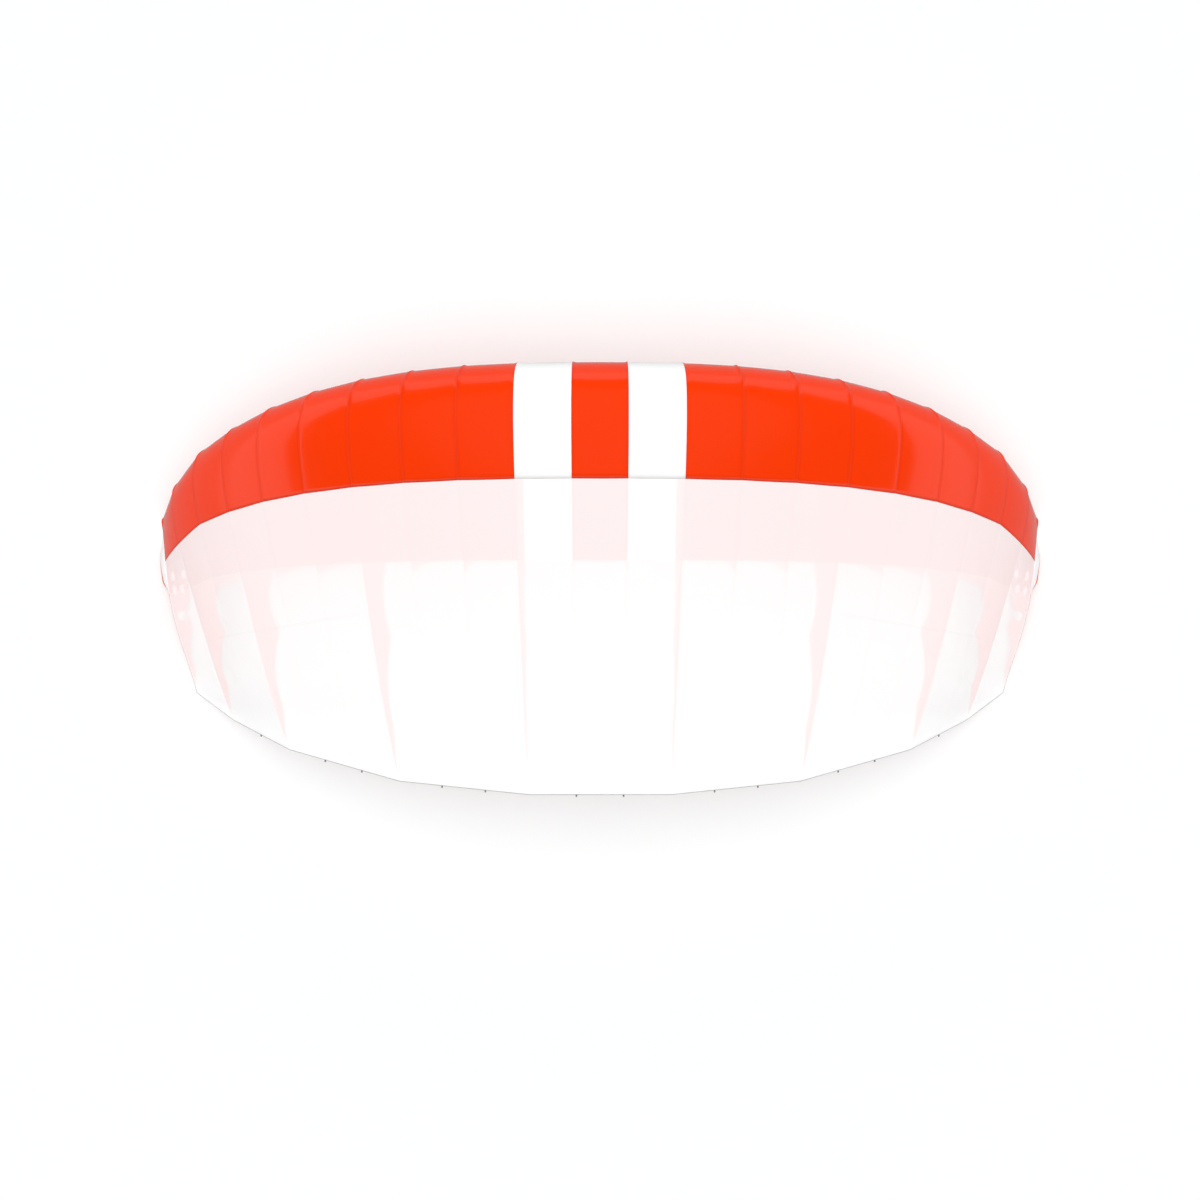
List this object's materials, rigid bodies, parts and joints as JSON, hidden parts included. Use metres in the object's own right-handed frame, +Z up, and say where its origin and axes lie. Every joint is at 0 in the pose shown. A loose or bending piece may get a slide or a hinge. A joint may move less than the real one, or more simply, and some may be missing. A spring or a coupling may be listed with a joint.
{
  "type": "parawing",
  "caption": "Arched ram-air kite wing of cloth, double skinned in front and single skinned behind, standing inflated on its two tips.",
  "frame": {"origin": "on the surface the wing stands on, under the middle of its bounding box", "axes": "+Z up, +Y towards the leading edge, +X towards the right tip"},
  "size_m": [3.2568, 1.4326, 0.8647],
  "materials": {
    "orange_red_cloth": "coated ripstop nylon, satin gloss",
    "white_cloth": "thin translucent ripstop nylon, satin",
    "dark_webbing": "woven webbing, matt"
  },
  "bodies": {
    "root": {"upper_front_left": "orange_red_cloth", "upper_front_stripe_left": "white_cloth", "upper_front_right": "orange_red_cloth", "upper_front_stripe_right": "white_cloth", "upper_front_centre": "orange_red_cloth", "upper_rear_left_outer": "white_cloth", "upper_rear_left_middle": "white_cloth", "upper_rear_left_inner": "white_cloth", "upper_rear_centre": "white_cloth", "upper_rear_right_inner": "white_cloth", "upper_rear_right_middle": "white_cloth", "upper_rear_right_outer": "white_cloth", "lower_left": "orange_red_cloth", "lower_stripe_left": "white_cloth", "tip_cap_left": "white_cloth", "lower_right": "orange_red_cloth", "lower_stripe_right": "white_cloth", "tip_cap_right": "white_cloth", "lower_centre": "orange_red_cloth", "rib_left_01": "orange_red_cloth", "rib_left_02": "orange_red_cloth", "rib_left_03": "orange_red_cloth", "rib_left_04": "orange_red_cloth", "rib_left_05": "orange_red_cloth", "rib_left_06": "orange_red_cloth", "rib_left_07": "orange_red_cloth", "rib_left_08": "orange_red_cloth", "rib_left_09": "orange_red_cloth", "rib_left_10": "orange_red_cloth", "rib_left_11": "orange_red_cloth", "tab_left_1": "dark_webbing", "tab_left_2": "dark_webbing", "tab_left_3": "dark_webbing", "tab_left_4": "dark_webbing", "tab_left_5": "dark_webbing", "tab_left_6": "dark_webbing", "rib_right_01": "orange_red_cloth", "rib_right_02": "orange_red_cloth", "rib_right_03": "orange_red_cloth", "rib_right_04": "orange_red_cloth", "rib_right_05": "orange_red_cloth", "rib_right_06": "orange_red_cloth", "rib_right_07": "orange_red_cloth", "rib_right_08": "orange_red_cloth", "rib_right_09": "orange_red_cloth", "rib_right_10": "orange_red_cloth", "rib_right_11": "orange_red_cloth", "tab_right_1": "dark_webbing", "tab_right_2": "dark_webbing", "tab_right_3": "dark_webbing", "tab_right_4": "dark_webbing", "tab_right_5": "dark_webbing", "tab_right_6": "dark_webbing"}
  },
  "joints": []
}
